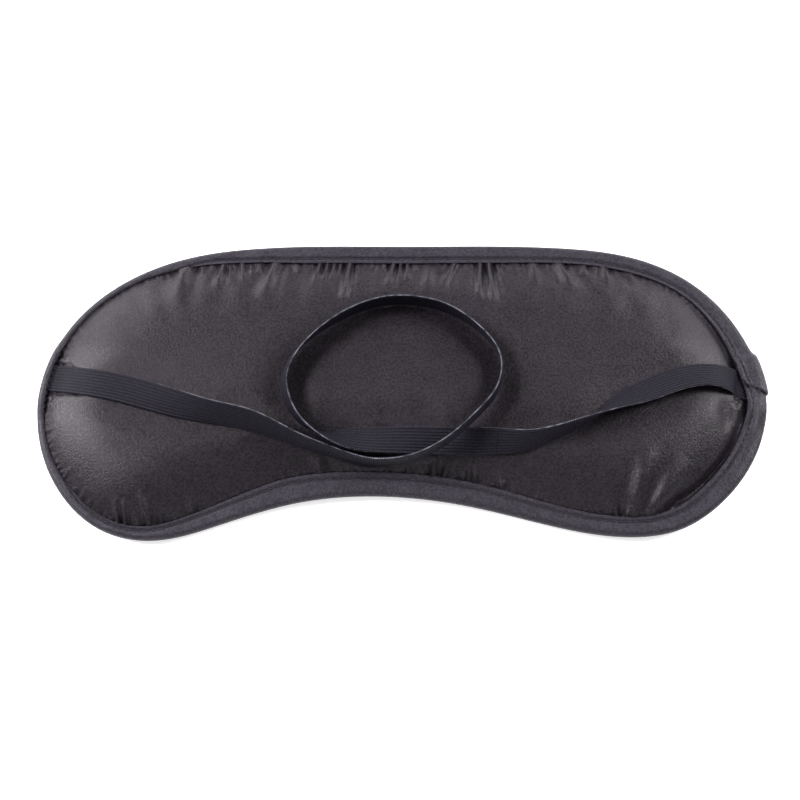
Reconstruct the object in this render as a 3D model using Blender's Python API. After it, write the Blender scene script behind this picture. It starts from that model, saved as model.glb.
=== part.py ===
"""Padded sleep eye mask: two satin covers over a foam pad, a bound edge and an elastic strap.

The mask lies on its front with the strap on top. +X runs across the face, +Y up to the forehead
and +Z toward the wearer. The shape tables are in millimetres and the solids are built in metres.
"""

import math

import bmesh
import bpy
import numpy as np

MM = 0.001
GAP = 0.3  # clearance between layers that touch

# Bound edge, anticlockwise from the right end: temples, brow, and the notch for the nose
OUTLINE = [
    (104.4, -4.5), (101.8, 9.0), (92.4, 25.2), (81.1, 34.8), (66.0, 41.0), (46.0, 43.7),
    (0.0, 44.2), (-42.0, 43.6), (-62.8, 40.6), (-83.0, 32.0), (-97.6, 18.0), (-105.3, -6.5),
    (-98.0, -30.0), (-86.0, -41.0), (-72.0, -44.2), (-52.0, -39.6), (-30.0, -33.2), (-8.0, -31.3),
    (21.7, -34.9), (44.0, -40.4), (62.0, -43.1), (78.3, -41.0), (91.5, -32.2), (101.8, -17.0),
]
OUTLINE_STEPS = 84
NORMAL_REACH = 0.5  # the outline's direction is taken over this length on each side

# Layers where the seam pinches them together, from the front of the mask up
CLOTH = 0.5
FRONT_LIP_Z = 1.7
FRONT_COVER_Z = FRONT_LIP_Z + CLOTH + GAP
REAR_COVER_Z = FRONT_COVER_Z + CLOTH + GAP
REAR_LIP_Z = REAR_COVER_Z + CLOTH + GAP
BINDING_TOP_Z = REAR_LIP_Z + CLOTH
BINDING_ROLL = (BINDING_TOP_Z - FRONT_LIP_Z) / 2
BINDING_MID_Z = FRONT_LIP_Z + BINDING_ROLL

# Width of the binding's rear lip by direction from the middle of the mask
LIP_ANGLES = [5, 20, 40, 60, 120, 138, 150, 162, 190, 200, 211, 217, 228, 253, 300, 320, 342, 355]
LIP_WIDTHS = [6.2, 4.9, 5.0, 5.7, 5.7, 4.5, 3.0, 2.8, 2.8, 3.3, 3.7, 5.6, 7.4, 6.8, 6.7, 5.6, 6.9, 6.2]
FRONT_LIP_WIDTH = 5.0
COVER_INSET = 1.3  # the covers' edges stand this far inside the fold of the binding
ROLL_STEPS = 4

# The tape starts on the right, runs clockwise and laps over its own start
TAPE_START = (101.8, 9.0)
TAPE_LAP = 11.0
LAP_RAMP = 7.0
LAP_RISE = CLOTH + GAP
LAP_LEAD = 0.5  # the lap is fully raised this far before the start that it covers
LAP_STEPS = 10

# Crown of the pad
FOOT = 1.0  # flat margin between the lip and the foot of the crown
REAR_CROWN = 6.4
REAR_RUN = 17.0
REAR_POWER = 2.2
FRONT_RUN = 12.0
FRONT_POWER = 2.0
LINING = 0.4

# Elastic strap
STRAP_WIDTH = 8.0
STRAP_THICK = 0.8
STRAP_STEP = 2.6
STRAP_SAG = 0.012  # curvature with which the strap bridges a hollow when it stands on edge, per mm
STRAP_LIMP = 0.02  # its stiffness when it lies flat, as a share of that on edge
STRAP_LIFT = 1.9  # how far the binding's lip rises over each end of the strap
STRAP_LIFT_SPAN = 11.0
# Route of the strap's middle: x, y, roll (0 flat, 90 on edge), lift to pass over itself.
# One full turn of the loop takes one full turn of roll, so neither end is sewn in twisted.
LEFT_RUN = [
    (-102.4, 3.8, 0, 0), (-98.5, 2.7, 0, 0), (-91.0, 0.8, 2, 0), (-80.3, -1.6, 8, 0),
    (-67.0, -5.7, 26, 0), (-54.5, -9.1, 50, 0), (-43.4, -11.6, 58, 0), (-33.0, -15.7, 72, 0),
]
LOOP = [
    (-28.0, -17.7, 77, 0), (-22.4, -19.5, 81, 0), (-14.7, -21.7, 86, 0.3), (-6.0, -22.9, 90, 0.8),
    (1.5, -22.5, 90, 1.2), (7.9, -20.3, 90, 1.4), (13.8, -16.7, 90, 1.4), (20.6, -10.4, 90, 1.2),
    (25.6, -4.4, 89, 0.2), (27.8, 1.6, 87, 0), (27.2, 7.8, 85, 0), (23.9, 13.0, 84, 0),
    (18.6, 17.8, 86, 0), (12.7, 21.3, 89, 0), (4.6, 23.6, 90, 0), (-3.6, 23.9, 90, 0),
    (-10.4, 22.4, 89, 0), (-18.0, 18.9, 87, 0), (-25.9, 13.3, 81, 0), (-31.3, 7.2, 77, 0),
    (-33.9, 0.3, 76, 0), (-33.0, -5.4, 79, 0), (-29.6, -11.1, 89, 0), (-23.3, -15.4, 106, 0),
    (-16.6, -16.5, 132, 0), (-10.0, -16.7, 148, 0), (0.0, -16.5, 162, 0), (12.0, -16.6, 176, 0),
    (20.8, -16.9, 186, 0),
]
RIGHT_RUN = [
    (27.0, -17.3, 206, 0), (34.0, -17.5, 234, 0), (43.4, -15.1, 257, 0), (51.0, -11.9, 270, 0),
    (56.0, -9.3, 286, 0), (62.3, -5.6, 315, 0), (70.4, -2.1, 334, 0), (76.6, 0.4, 337, 0),
    (83.0, 2.0, 337, 0), (88.4, 2.5, 341, 0), (93.6, 2.0, 355, 0), (100.4, 0.4, 360, 0),
]

LOOP_MIDDLE = (-3.0, 0.0, 14.0)

# Sewing thread
THREAD = 0.4
STITCH_INSET = 1.1  # the stitch line stands this far from the lip's edge
THREAD_TAIL = 3.0  # it stays raised this far past the end of the lap

SATIN = {"colour": (0.045, 0.040, 0.043, 1.0), "rough": 0.42}
TAPE = {"colour": (0.060, 0.055, 0.060, 1.0), "rough": 0.40}
LINING_CLOTH = {"colour": (0.010, 0.010, 0.010, 1.0), "rough": 0.85}
FOAM = {"colour": (0.080, 0.080, 0.085, 1.0), "rough": 0.95}
ELASTIC = {"colour": (0.020, 0.020, 0.030, 1.0), "rough": 0.65}
SEWING = {"colour": (0.030, 0.028, 0.030, 1.0), "rough": 0.55}


def smoothstep(value):
    t = np.clip(value, 0.0, 1.0)
    return t * t * (3 - 2 * t)


def spline_curvatures(points, spans, closed):
    """Second derivatives of the cubic spline through the points."""
    count = len(points)
    matrix = np.eye(count)
    right = np.zeros_like(points)
    inner = range(count) if closed else range(1, count - 1)
    for i in inner:
        before, after = spans[i - 1], spans[i % len(spans)]
        matrix[i, (i - 1) % count] = before
        matrix[i, i] = 2 * (before + after)
        matrix[i, (i + 1) % count] = after
        forward = (points[(i + 1) % count] - points[i]) / after
        backward = (points[i] - points[(i - 1) % count]) / before
        right[i] = 6 * (forward - backward)
    return np.linalg.solve(matrix, right)


def smooth_curve(table, closed, samples=24):
    """Closely spaced points on the cubic spline through the table's rows."""
    points = np.array(table, dtype=float)
    ends = np.roll(points, -1, axis=0) if closed else points[1:]
    starts = points if closed else points[:-1]
    spans = np.linalg.norm((ends - starts)[:, :2], axis=1)
    bend = spline_curvatures(points, spans, closed)
    curve = []
    for i, span in enumerate(spans):
        j = (i + 1) % len(points)
        for t in np.arange(samples) / samples:
            s = 1 - t
            curve.append(
                s * points[i]
                + t * points[j]
                + ((s**3 - s) * bend[i] + (t**3 - t) * bend[j]) * span**2 / 6
            )
    if not closed:
        curve.append(points[-1])
    return np.array(curve)


def arc_lengths(points, closed):
    ring = np.vstack([points, points[:1]]) if closed else points
    steps = np.linalg.norm(np.diff(ring[:, :2], axis=0), axis=1)
    return np.concatenate([[0.0], np.cumsum(steps)]), ring


def at_length(points, closed, lengths):
    """The curve's rows at the given lengths along it."""
    along, ring = arc_lengths(points, closed)
    return np.stack([np.interp(lengths, along, ring[:, k]) for k in range(ring.shape[1])], axis=1)


FINE_OUTLINE = smooth_curve(OUTLINE, closed=True)
PERIMETER = arc_lengths(FINE_OUTLINE, closed=True)[0][-1]


def outline_at(lengths):
    """Points and inward normals at the given lengths round the outline."""
    here = at_length(FINE_OUTLINE, True, np.mod(lengths, PERIMETER))
    ahead = at_length(FINE_OUTLINE, True, np.mod(lengths + NORMAL_REACH, PERIMETER))
    behind = at_length(FINE_OUTLINE, True, np.mod(lengths - NORMAL_REACH, PERIMETER))
    along = ahead - behind
    along /= np.linalg.norm(along, axis=1)[:, None]
    return here, np.stack([-along[:, 1], along[:, 0]], axis=1)


def lip_width(points):
    angles = np.degrees(np.arctan2(points[:, 1], points[:, 0]))
    return np.interp(angles, LIP_ANGLES, LIP_WIDTHS, period=360)


def rear_top(inset, lip):
    """Height of the rear cover's outer face, by distance inside the outline."""
    rise = np.clip((inset - lip - FOOT) / REAR_RUN, 0, 1)
    return REAR_COVER_Z + CLOTH + REAR_CROWN * (1 - (1 - rise) ** REAR_POWER)


def front_bottom(inset):
    """Height of the front cover's outer face, by distance inside the outline."""
    rise = np.clip((inset - FRONT_LIP_WIDTH - FOOT) / FRONT_RUN, 0, 1)
    return FRONT_COVER_Z * (1 - rise) ** FRONT_POWER


def inset_of(places):
    """Distance inside the outline, and the lip's width there, at each place."""
    near = [np.argmin(np.linalg.norm(FINE_OUTLINE - p, axis=1)) for p in places]
    edge = FINE_OUTLINE[near]
    return np.linalg.norm(edge - places, axis=1), lip_width(edge)


def nearest_length(place):
    along = arc_lengths(FINE_OUTLINE, closed=True)[0]
    return along[np.argmin(np.linalg.norm(FINE_OUTLINE - np.array(place), axis=1))]


def way_round(lengths):
    """The same lengths round the outline, counted the shorter way from zero."""
    return np.mod(lengths + PERIMETER / 2, PERIMETER) - PERIMETER / 2


def paint(item, look):
    material = bpy.data.materials.new(item.name)
    material.use_nodes = True
    shader = material.node_tree.nodes["Principled BSDF"]
    shader.inputs["Base Color"].default_value = look["colour"]
    shader.inputs["Roughness"].default_value = look["rough"]
    shader.inputs["Metallic"].default_value = 0.0
    item.data.materials.append(material)


def place(item, look):
    bpy.context.collection.objects.link(item)
    paint(item, look)


def solid_of_rows(name, rows, look, origin=(0.0, 0.0, 0.0)):
    """A closed solid through rows of points, with a cap on its first row and on its last."""
    body = bmesh.new()
    loops = [[body.verts.new((point - origin) * MM) for point in row] for row in rows]
    for low, high in zip(loops, loops[1:]):
        for c, corner in enumerate(low):
            d = (c + 1) % len(low)
            body.faces.new((corner, low[d], high[d], high[c]))
    body.faces.new(loops[0][::-1])
    body.faces.new(loops[-1])
    mesh = bpy.data.meshes.new(name)
    body.to_mesh(mesh)
    body.free()
    mesh.shade_smooth()
    item = bpy.data.objects.new(name, mesh)
    item.location = np.array(origin) * MM
    place(item, look)


def thread_along(name, points, look):
    """A closed line of thread through the points."""
    curve = bpy.data.curves.new(name, "CURVE")
    curve.dimensions = "3D"
    curve.bevel_depth = THREAD / 2 * MM
    curve.bevel_resolution = 0
    line = curve.splines.new("POLY")
    line.points.add(len(points) - 1)
    for knot, point in zip(line.points, points * MM):
        knot.co = (*point, 1.0)
    line.use_cyclic_u = True
    place(bpy.data.objects.new(name, curve), look)


def ring(inset, heights):
    """One ring of points at a distance inside the outline."""
    edge, inward = outline_at(np.arange(OUTLINE_STEPS) * PERIMETER / OUTLINE_STEPS)
    flat = edge + inward * np.broadcast_to(inset, OUTLINE_STEPS)[:, None]
    return np.column_stack([flat, np.broadcast_to(heights, OUTLINE_STEPS)])


def layer(name, look, insets, bottom, top):
    """A sheet or pad between two height rules, flat-capped inside its last inset."""
    edge, _ = outline_at(np.arange(OUTLINE_STEPS) * PERIMETER / OUTLINE_STEPS)
    lip = lip_width(edge)
    places = [np.broadcast_to(rule(lip), OUTLINE_STEPS) for rule in insets]
    under = [ring(place, bottom(place, lip)) for place in reversed(places)]
    over = [ring(place, top(place, lip)) for place in places]
    solid_of_rows(name, under + over, look)


def at_edge(lip):
    return COVER_INSET


def up_rear(share):
    """The rule for a ring at this share of the way up the rear crown."""
    return lambda lip: lip + FOOT + share * REAR_RUN


def down_front(share):
    """The rule for a ring at this share of the way down the front crown."""
    return lambda lip: FRONT_LIP_WIDTH + FOOT + share * FRONT_RUN


def covers_and_filling():
    rear_rings = [at_edge] + [up_rear(share) for share in (0.0, 0.12, 0.32, 0.6, 1.0)]
    layer(
        "rear_cover", SATIN, rear_rings,
        bottom=lambda inset, lip: rear_top(inset, lip) - CLOTH,
        top=rear_top,
    )
    front_rings = [at_edge] + [down_front(share) for share in (0.0, 0.25, 0.6, 1.0)]
    layer(
        "front_cover", SATIN, front_rings,
        bottom=lambda inset, lip: front_bottom(inset),
        top=lambda inset, lip: front_bottom(inset) + CLOTH,
    )
    over_front = CLOTH + GAP
    lining_rings = [down_front(share) for share in (0.25, 0.6, 1.0)]
    layer(
        "blackout_lining", LINING_CLOTH, lining_rings,
        bottom=lambda inset, lip: front_bottom(inset) + over_front,
        top=lambda inset, lip: front_bottom(inset) + over_front + LINING,
    )
    over_lining = over_front + LINING + GAP
    foam_rings = [up_rear(share) for share in (0.18, 0.32, 0.6, 1.0)]
    layer(
        "foam_pad", FOAM, foam_rings,
        bottom=lambda inset, lip: front_bottom(inset) + over_lining,
        top=lambda inset, lip: rear_top(inset, lip) - CLOTH - GAP,
    )


def strap_lift(lengths):
    """How far the rear lip rises at each length round the outline, to clear the strap's ends."""
    lift = np.zeros(len(lengths))
    for end in (LEFT_RUN[0], RIGHT_RUN[-1]):
        away = np.abs(way_round(lengths - nearest_length(end[:2])))
        lift += STRAP_LIFT * (1 - smoothstep(away / STRAP_LIFT_SPAN * 2 - 1))
    return lift


def edge_binding():
    """The bias tape folded over the edge, swept clockwise from its start to past its own start."""
    start = nearest_length(TAPE_START)
    round_once = np.arange(OUTLINE_STEPS) * PERIMETER / OUTLINE_STEPS
    lapping = PERIMETER + np.linspace(-LAP_RAMP, TAPE_LAP, LAP_STEPS + 1)[1:]
    swept = np.concatenate([round_once, lapping])
    edge, inward = outline_at(start - swept)
    lap = LAP_RISE * smoothstep((swept - PERIMETER + LAP_RAMP) / (LAP_RAMP - LAP_LEAD))
    outer = BINDING_ROLL + lap
    inner = outer - CLOTH
    rear_lip = lip_width(edge)
    front_lip = np.full(len(edge), FRONT_LIP_WIDTH)
    front_middle = np.full(len(edge), BINDING_MID_Z)
    rear_middle = front_middle + strap_lift(start - swept)

    def column(inset, height):
        """One line of points all round the edge."""
        return np.column_stack([edge + inward * inset[:, None], height])

    def half_circle(radius, turns):
        columns = []
        for degrees in turns:
            turn = math.radians(degrees)
            middle = rear_middle if degrees < 180 else front_middle
            columns.append(column(
                BINDING_ROLL + math.cos(turn) * radius, middle + math.sin(turn) * radius
            ))
        return columns

    turns = np.linspace(270, 90, ROLL_STEPS + 1)
    columns = [
        *half_circle(inner, turns),
        column(rear_lip, rear_middle + inner),
        column(rear_lip, rear_middle + outer),
        *half_circle(outer, turns[::-1]),
        column(front_lip, front_middle - outer),
        column(front_lip, front_middle - inner),
    ]
    solid_of_rows("edge_binding", list(np.stack(columns[::-1], axis=1)), TAPE)


def seam_threads():
    """The needle thread on the rear lip and the bobbin thread under the front lip."""
    lengths = np.arange(OUTLINE_STEPS) * PERIMETER / OUTLINE_STEPS
    edge, inward = outline_at(lengths)
    past_start = way_round(nearest_length(TAPE_START) - lengths)
    ramp_up = smoothstep((past_start + 2 * LAP_RAMP) / LAP_RAMP)
    ramp_down = smoothstep((past_start - TAPE_LAP - THREAD_TAIL) / LAP_RAMP)
    lap = LAP_RISE * ramp_up * (1 - ramp_down)
    stitch_lines = [
        ("rear_seam_thread", lip_width(edge), BINDING_TOP_Z, lap + strap_lift(lengths), 1),
        ("front_seam_thread", np.full(len(edge), FRONT_LIP_WIDTH), FRONT_LIP_Z, lap, -1),
    ]
    for name, lip, surface, rise, side in stitch_lines:
        bridged = np.max([np.roll(rise, shift) for shift in (-1, 0, 1)], axis=0)
        flat = edge + inward * (lip - STITCH_INSET)[:, None]
        height = surface + side * (bridged + GAP + THREAD / 2)
        thread_along(name, np.column_stack([flat, height]), SEWING)


def surface_under(places):
    inset, lip = inset_of(places)
    return rear_top(inset, lip)


def strap_stations():
    """The strap's cross sections: middle, across-the-width and through-the-thickness vectors."""
    route = smooth_curve(LEFT_RUN + LOOP + RIGHT_RUN, closed=False)
    length = arc_lengths(route, closed=False)[0][-1]
    places = at_length(route, False, np.linspace(0, length, round(length / STRAP_STEP) + 1))
    flat, roll, lift = places[:, :2], np.radians(places[:, 2]), places[:, 3]
    along = np.gradient(flat, axis=0)
    along /= np.linalg.norm(along, axis=1)[:, None]
    side = np.column_stack([-along[:, 1], along[:, 0], np.zeros(len(along))])
    up = np.array([0.0, 0.0, 1.0])
    half = STRAP_WIDTH / 2

    # Where it lies flat, the strap tilts with the cover under it
    reach = side[:, :2] * (np.cos(roll) * half)[:, None]
    slope = (surface_under(flat + reach) - surface_under(flat - reach)) / STRAP_WIDTH
    roll = roll + np.cos(roll) * np.arcsin(np.clip(slope, -1, 1))

    across = side * np.cos(roll)[:, None] + up * np.sin(roll)[:, None]
    through = np.cross(np.column_stack([along, np.zeros(len(along))]), across)
    rest = np.full(len(places), -np.inf)
    for share in np.linspace(-1, 1, 5):
        edge = across * half * share
        rest = np.maximum(rest, surface_under(flat + edge[:, :2]) - edge[:, 2])
    rest += STRAP_THICK / 2 * np.abs(np.cos(roll)) + lift
    apart = (np.arange(len(rest))[:, None] - np.arange(len(rest))) * STRAP_STEP
    sag = STRAP_SAG / np.maximum(np.sin(roll) ** 2, STRAP_LIMP)
    bridged = np.max(rest[None, :] - sag[:, None] * apart**2, axis=1)
    return np.column_stack([flat, bridged + GAP]), across, through


def strap():
    """One elastic strap in three stretches, so that its loop can lift off the mask."""
    middle, across, through = strap_stations()
    last = len(middle) - 1
    loop_start = int(np.argmax(middle[:, 0] > LEFT_RUN[-1][0]))
    loop_end = last - int(np.argmax(middle[::-1, 0] < RIGHT_RUN[0][0]))
    stretches = [
        ("strap_left_run", 0, loop_start, (0.0, 0.0, 0.0)),
        ("strap_loop", loop_start, loop_end, LOOP_MIDDLE),
        ("strap_right_run", loop_end, last, (0.0, 0.0, 0.0)),
    ]
    for name, first, final, origin in stretches:
        centre = middle[first:final + 1].copy()
        if first > 0:
            ahead = centre[1] - centre[0]
            centre[0] += ahead / np.linalg.norm(ahead) * GAP
        wide = across[first:final + 1] * STRAP_WIDTH / 2
        thick = through[first:final + 1] * STRAP_THICK / 2
        corners = [wide + thick, thick - wide, -wide - thick, wide - thick]
        rows = np.stack([centre + corner for corner in corners], axis=1)
        solid_of_rows(name, rows, ELASTIC, origin)


def main():
    for item in list(bpy.data.objects):
        bpy.data.objects.remove(item, do_unlink=True)
    covers_and_filling()
    edge_binding()
    seam_threads()
    strap()


main()
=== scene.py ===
"""Looks of the padded sleep eye mask. Lengths are in millimetres until a mesh is made."""

import math

import bpy
import numpy as np
from mathutils.geometry import delaunay_2d_cdt
from mathutils.kdtree import KDTree
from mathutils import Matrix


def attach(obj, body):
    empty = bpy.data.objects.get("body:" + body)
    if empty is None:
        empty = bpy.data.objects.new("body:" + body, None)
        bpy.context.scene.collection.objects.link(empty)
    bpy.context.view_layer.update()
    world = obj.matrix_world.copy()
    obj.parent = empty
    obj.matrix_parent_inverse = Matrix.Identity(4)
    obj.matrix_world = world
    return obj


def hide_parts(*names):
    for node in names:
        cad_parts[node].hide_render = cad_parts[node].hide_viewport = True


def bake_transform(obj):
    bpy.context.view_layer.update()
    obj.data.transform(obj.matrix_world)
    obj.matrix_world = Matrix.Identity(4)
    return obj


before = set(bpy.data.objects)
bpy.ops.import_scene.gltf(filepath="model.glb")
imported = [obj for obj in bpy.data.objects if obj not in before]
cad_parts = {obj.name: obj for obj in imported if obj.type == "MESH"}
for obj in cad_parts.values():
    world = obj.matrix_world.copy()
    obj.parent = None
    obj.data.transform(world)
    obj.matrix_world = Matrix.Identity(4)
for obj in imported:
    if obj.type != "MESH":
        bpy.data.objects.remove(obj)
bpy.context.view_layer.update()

MM = 0.001
CLOTH = 0.5
COVER_THICK = 0.4
GAP = 0.3
UP = np.array([0.0, 0.0, 1.0])

CAMERA_LENS = 94.0
CAMERA_LEAN = math.radians(16.0)
CAMERA_TARGET = np.array([-1.0, -3.27, 5.0])
CAMERA_AWAY = 600.0

# ---------------------------------------------------------------- shape that the CAD has too

OUTLINE = [
    (104.4, -4.5), (101.8, 9.0), (92.4, 25.2), (81.1, 34.8), (66.0, 41.0), (46.0, 43.7),
    (0.0, 44.2), (-42.0, 43.6), (-62.8, 40.6), (-83.0, 32.0), (-97.6, 18.0), (-105.3, -6.5),
    (-98.0, -30.0), (-86.0, -41.0), (-72.0, -44.2), (-52.0, -39.6), (-30.0, -33.2), (-8.0, -31.3),
    (21.7, -34.9), (44.0, -40.4), (62.0, -43.1), (78.3, -41.0), (91.5, -32.2), (101.8, -17.0),
]
EDGE_STEPS = 1400
FRONT_COVER_Z = 2.5
REAR_TOP_Z = 3.8
MID_Z = 3.15
ROLL = 1.45
FRONT_LIP_WIDTH = 5.0
COVER_INSET = 1.3
FOOT = 1.0
FOAM_FOOT = 3.6
REAR_CROWN = 6.4
REAR_RUN = 17.0
REAR_POWER = 2.2
FRONT_RUN = 12.0
TAPE_START = (101.8, 9.0)
TAPE_LAP = 11.0
LAP_RAMP = 3.0
LAP_SLANT = 3.2
LAP_RISE = CLOTH + GAP
STRAP_WIDTH = 8.0
STRAP_THICK = 0.8
STRAP_SAG = 0.012
STRAP_LIMP = 0.02
STRAP_LIFT = 1.2
STRAP_LIFT_SPAN = 14.0

# The strap's route: x, y, turn about its own length in degrees, and height over the cover
LEFT_RUN = [
    (-102.4, 3.8, 0, 0), (-98.5, 2.7, 0, 0), (-91.0, 0.8, 2, 0), (-80.3, -1.6, 8, 0),
    (-67.0, -5.7, 26, 0), (-54.5, -9.1, 50, 0), (-43.4, -11.6, 58, 0), (-33.0, -15.7, 72, 0),
]
LOOP = [
    (-28.0, -17.7, 77, 0), (-22.4, -19.5, 81, 0), (-14.7, -21.7, 86, 0.3), (-6.0, -22.9, 90, 0.8),
    (1.5, -22.5, 90, 1.2), (7.9, -20.3, 90, 1.4), (13.8, -16.7, 90, 1.4), (20.6, -10.4, 90, 1.2),
    (25.6, -4.4, 89, 0.2), (27.8, 1.6, 87, 0), (27.2, 7.8, 85, 0), (23.9, 13.0, 84, 0),
    (18.6, 17.8, 86, 0), (12.7, 21.3, 89, 0), (4.6, 23.6, 90, 0), (-3.6, 23.9, 90, 0),
    (-10.4, 22.4, 89, 0), (-18.0, 18.9, 87, 0), (-25.9, 13.3, 81, 0), (-31.3, 7.2, 77, 0),
    (-33.9, 0.3, 76, 0), (-33.0, -5.4, 79, 0), (-29.6, -11.1, 89, 0), (-23.3, -15.4, 106, 0),
    (-16.6, -16.5, 132, 0), (-10.0, -16.7, 148, 0), (0.0, -16.5, 162, 0), (12.0, -16.6, 176, 0),
    (20.8, -16.9, 186, 0),
]
RIGHT_RUN = [
    (27.0, -17.3, 206, 0), (34.0, -17.5, 234, 0), (43.4, -15.1, 257, 0), (51.0, -11.9, 270, 0),
    (56.0, -9.3, 286, 0), (62.3, -5.6, 315, 0), (70.4, -2.1, 334, 0), (76.6, 0.4, 337, 0),
    (83.0, 2.0, 337, 0), (88.4, 2.5, 341, 0), (93.6, 2.0, 355, 0), (100.4, 0.4, 360, 0),
]

# Width of the CAD binding's rear lip by direction from the middle of the mask, in degrees
CAD_LIP = [
    (5, 6.2), (20, 4.9), (40, 5.0), (60, 5.7), (120, 5.7), (138, 4.5),
    (150, 3.0), (162, 2.8), (190, 2.8), (200, 3.3), (211, 3.7), (217, 5.6),
    (228, 7.4), (253, 6.8), (300, 6.7), (320, 5.6), (342, 6.9), (355, 6.2),
]

# ---------------------------------------------------------------- fine detail

# Width of the visible binding's rear lip by direction, in degrees
LIP = [
    (2, 6.3), (8, 5.9), (14, 5.4), (20, 4.8), (31, 5.1), (41, 5.0), (57, 5.6), (92, 5.7),
    (124, 5.6), (139, 4.4), (150, 2.9), (156, 2.3), (162, 2.0), (180, 2.1), (186, 2.1), (193, 2.6),
    (198, 3.3), (211, 3.7), (217, 5.6), (225, 7.4), (232, 7.3), (253, 6.8), (295, 6.8),
    (307, 6.5), (319, 5.7), (327, 5.5), (340, 6.9), (346, 6.8), (353, 6.3), (358, 5.2),
]

# Gathers of the rear cover: start at the seam, end on the crown, half width, height
GATHERS = [
    (-63.8, 36.7, -67.1, 22.1, 2.6, 0.70), (-58.8, 37.2, -58.9, 33.7, 1.0, 0.35),
    (-52.7, 37.2, -54.5, 29.3, 1.1, 0.70), (-50.8, 37.2, -50.7, 32.7, 0.6, 0.45),
    (-47.2, 38.0, -46.4, 31.6, 0.9, 0.55), (-44.7, 37.7, -44.2, 34.8, 0.7, 0.30),
    (-42.2, 38.0, -42.4, 34.5, 0.8, 0.35), (-37.6, 37.7, -41.2, 25.3, 1.8, 0.70),
    (-31.3, 37.8, -30.2, 35.0, 1.0, 0.40), (-24.5, 37.8, -26.2, 30.4, 0.8, 0.50),
    (-22.3, 37.8, -23.4, 32.2, 0.7, 0.50), (-20.2, 37.8, -21.0, 32.2, 0.7, 0.45),
    (-18.4, 37.8, -19.0, 32.7, 0.6, 0.35), (-15.7, 37.8, -17.6, 24.1, 1.1, 0.80),
    (-13.7, 37.8, -13.8, 33.5, 0.7, 0.40), (-7.5, 37.8, -7.4, 35.3, 0.6, 0.25),
    (-5.4, 37.8, -5.5, 35.3, 0.6, 0.25), (-3.0, 37.8, -4.8, 29.7, 0.9, 0.60),
    (-0.9, 37.8, -1.2, 32.5, 0.7, 0.45), (1.2, 37.8, 1.0, 32.0, 0.8, 0.50),
    (3.7, 37.8, 3.6, 35.5, 0.6, 0.20), (7.5, 35.8, 6.5, 27.7, 1.6, 0.35),
    (14.6, 37.6, 10.8, 29.2, 1.1, 0.55), (18.2, 37.8, 17.9, 35.3, 0.7, 0.25),
    (22.4, 37.6, 22.1, 26.1, 1.0, 0.75), (24.9, 37.6, 26.4, 22.6, 1.1, 0.75),
    (27.4, 37.6, 28.4, 33.5, 0.8, 0.40), (31.1, 37.8, 30.9, 35.3, 0.7, 0.25),
    (35.2, 37.6, 35.0, 34.8, 0.7, 0.25), (38.1, 37.6, 38.8, 29.2, 1.8, 0.45),
    (45.6, 37.6, 50.2, 27.9, 1.8, 0.55), (49.1, 37.2, 49.0, 34.8, 0.8, 0.30),
    (52.6, 37.6, 53.1, 33.8, 1.0, 0.35), (56.3, 37.4, 56.2, 34.8, 0.9, 0.30),
    (58.4, 37.1, 60.5, 30.6, 1.5, 0.50), (66.0, 34.8, 69.3, 30.4, 1.5, 0.30),
    (-80.6, -40.1, -81.7, -32.6, 0.8, 0.60), (-78.7, -40.1, -79.3, -33.2, 0.7, 0.60),
    (-71.9, -39.4, -74.6, -31.0, 1.0, 0.65), (-68.5, -38.9, -68.4, -36.1, 0.8, 0.30),
    (-59.8, -35.9, -59.1, -31.6, 1.4, 0.35), (-23.5, -24.9, -24.4, -18.2, 1.8, 0.40),
    (-4.7, -24.9, -5.1, -21.6, 0.8, 0.30), (1.4, -24.9, 1.0, -21.6, 0.9, 0.30),
    (8.6, -25.6, 8.0, -17.9, 1.1, 0.65), (11.4, -25.8, 13.6, -21.6, 0.9, 0.45),
    (16.7, -26.4, 16.3, -22.6, 1.1, 0.35), (20.2, -27.2, 20.5, -22.6, 0.9, 0.50),
    (27.8, -29.0, 27.7, -24.2, 1.5, 0.40), (55.3, -36.6, 54.9, -33.8, 0.9, 0.35),
    (60.4, -37.3, 59.5, -34.0, 0.8, 0.50), (63.0, -37.3, 63.9, -34.7, 0.7, 0.45),
    (65.6, -36.2, 69.8, -17.0, 2.8, 0.80), (70.0, -36.4, 80.5, -21.4, 2.9, 0.90),
    (78.8, -33.7, 85.9, -27.7, 1.6, 0.55),
]
GATHER_HEIGHT = 2.3
GATHER_FADE = 0.9
VALLEY_SHARE = 0.45
VALLEY_AWAY = 1.7
DIMPLE = np.array([92.3, -8.6])
DIMPLE_RADII = np.array([2.2, 4.6])
DIMPLE_DEPTH = 1.4
COVER_PITCH = 1.6
STITCH_PITCH = 2.1

# Bands of direction, in degrees: where the rise starts, its width, where the fall starts, its width
RIGHT_SIDE = (-28, 6, 8, 12)
RIGHT_HOLLOW = (-27, 6, -14, 8)

# Simulation of the slack rear cover, at ten times its size; its points are SIM_PITCH apart, its puff
# stays within SIM_CAP, and the strap holds it down within STRAP_HOLD of its edges
SIM_SCALE = 0.01
SIM_PITCH = 2.5
SIM_RING_SKIP = 4
SIM_FRAMES = 20
SIM_SLACK = 0.008
SIM_PRESSURE = 4.0
SIM_CAP = 1.0
STRAP_HOLD = 9.0

THREAD_SIDES = 8
RIBS = 9
POINTS_PER_RIB = 6
STRAP_STEP = 0.65
STITCH_RADIUS = 0.19
TACK_RADIUS = 0.12
TACKS = 17

# The tape's groove, and the pleats at its start: place inside the edge, drift along it, half width
GROOVE_WIDTH = 0.42
GROOVE_DEPTH = 0.50
PLEATS = ((1.6, 0.035, 0.7), (3.1, -0.030, 0.45), (4.3, 0.012, 0.5))

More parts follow.
